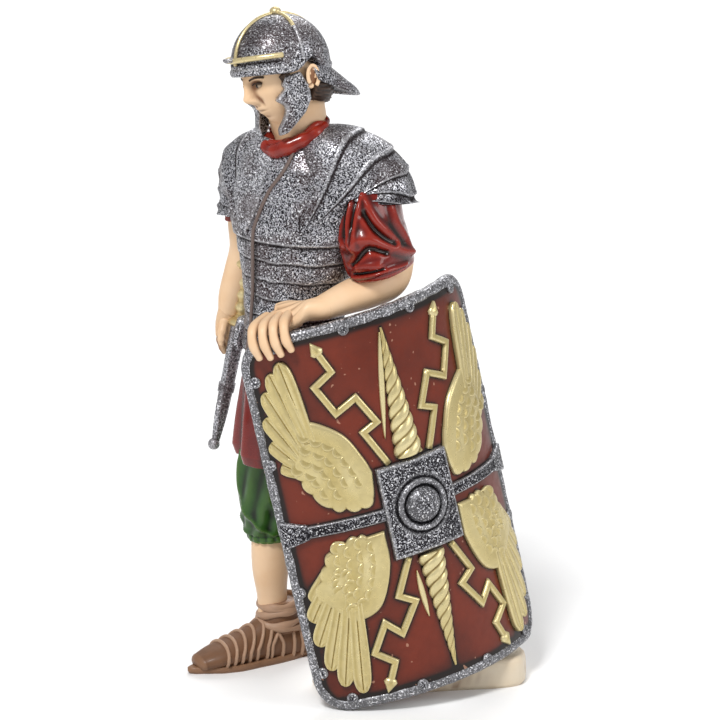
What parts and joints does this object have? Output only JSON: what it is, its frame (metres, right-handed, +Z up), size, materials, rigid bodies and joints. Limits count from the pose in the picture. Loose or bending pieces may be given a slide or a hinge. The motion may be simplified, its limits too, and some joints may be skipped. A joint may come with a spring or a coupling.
{
  "type": "roman soldier figurine",
  "caption": "Moulded Roman legionary who leans his left forearm on a tall curved shield; stands on his feet and a low stone.",
  "frame": {"origin": "middle of the bounding box on the surface that the figure stands on", "axes": "+Z up along the figure's height, -Y the way his hips face, +X towards his left hand"},
  "size_m": [0.041, 0.0448, 0.1002],
  "materials": {
    "painted_figure": "hand-painted solid resin: speckled silver-grey armour, glossy red and green cloth, washed skin",
    "lacquered_shield": "red-brown lacquer with pale brass reliefs and speckled silver-grey metal"
  },
  "bodies": {
    "root": {"soldier": "painted_figure", "shield": "lacquered_shield"}
  },
  "joints": []
}
